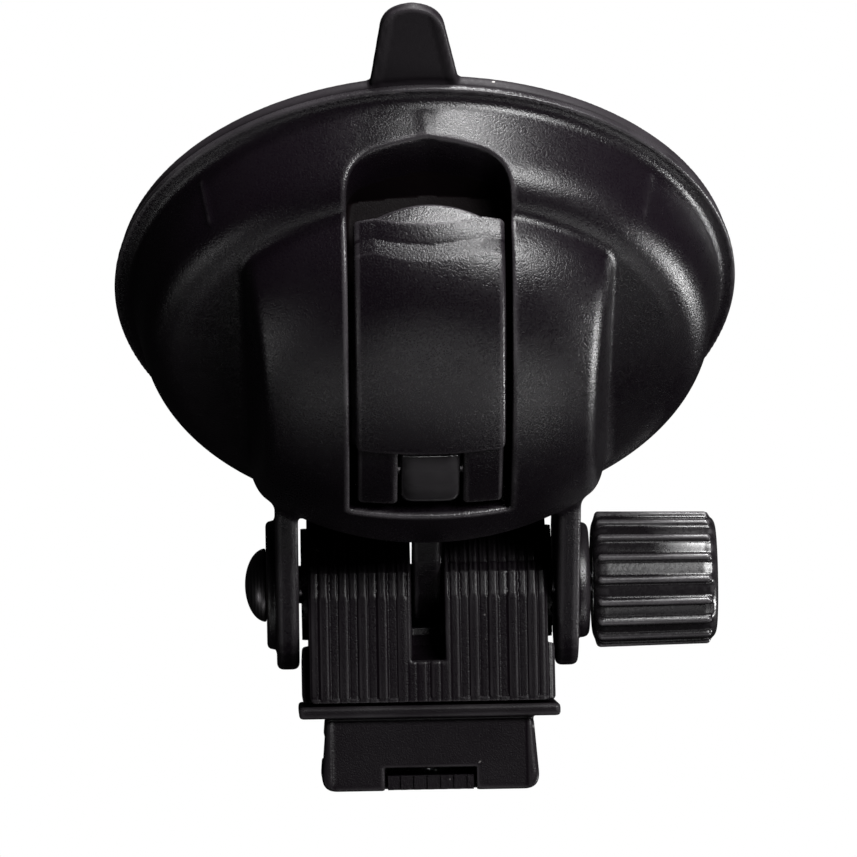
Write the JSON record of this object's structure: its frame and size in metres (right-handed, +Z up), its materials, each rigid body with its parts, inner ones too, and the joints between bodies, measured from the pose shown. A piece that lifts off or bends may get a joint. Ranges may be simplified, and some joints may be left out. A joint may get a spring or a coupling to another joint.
{
  "type": "windscreen suction mount",
  "caption": "Windscreen suction mount for a dash camera, with a locking lever on a domed hub, a knob-clamped tilting adapter and a sliding shoe.",
  "frame": {"origin": "middle of the suction face, where the rubber lies on the glass", "axes": "+Z up as it hangs in the car, X along the hinge's axle with the knob at +X, the driver at -Y, the glass raked 52.5 degrees from the vertical with its top towards the driver"},
  "size_m": [0.064, 0.0673, 0.081],
  "materials": {
    "rubber": "matte",
    "satin_black": "fine grained satin",
    "fine_black": "satin",
    "gloss_black": "glossy",
    "smoke": "smoky clear",
    "steel": "zinc plated",
    "black_steel": "black oxide",
    "brass": "turned",
    "acetal": "black"
  },
  "bodies": {
    "cup_body": {"suction_cup": "rubber", "cover": "satin_black", "return_spring": "steel", "cam_plate": "acetal", "hinge_bolt": "black_steel", "thrust_washer": "steel", "spring_washer": "steel"},
    "stem": {"stem": "smoke", "lever_pin": "black_steel"},
    "lever": {"lock_lever": "satin_black"},
    "adapter": {"adapter_block": "fine_black", "camera_shoe": "fine_black", "shoe_screw_left": "steel", "shoe_screw_right": "steel", "latch_spring": "steel", "detent_ring_left": "fine_black", "detent_ring_right": "fine_black"},
    "knob": {"knob": "gloss_black", "knob_insert": "brass"},
    "latch": {"shoe_latch": "fine_black"}
  },
  "joints": [
    {"name": "stem_draw", "type": "slide", "parent": "cup_body", "child": "stem", "axis": [0, -0.6088, -0.7934], "range_m": [-0.0013, 0]},
    {"name": "lever_swing", "type": "hinge", "parent": "stem", "child": "lever", "pos_m": [0, -0.0097, -0.02004], "axis": [1, 0, 0], "range_deg": [0, 100]},
    {"name": "adapter_tilt", "type": "hinge", "parent": "cup_body", "child": "adapter", "pos_m": [0, 0.0217, -0.03266], "axis": [1, 0, 0], "range_deg": [-52, 50]},
    {"name": "knob_turn", "type": "hinge", "parent": "cup_body", "child": "knob", "pos_m": [0.022, 0.0217, -0.03266], "axis": [1, 0, 0], "continuous": true},
    {"name": "latch_press", "type": "slide", "parent": "adapter", "child": "latch", "axis": [0, 0, 1], "range_m": [0, 0.0007], "stiffness_N_per_m": 400, "deforming": ["latch_spring"]}
  ],
  "couplings": [
    {"joint": "lever_swing", "follows": "stem_draw", "rad_per_m": -1342}
  ]
}
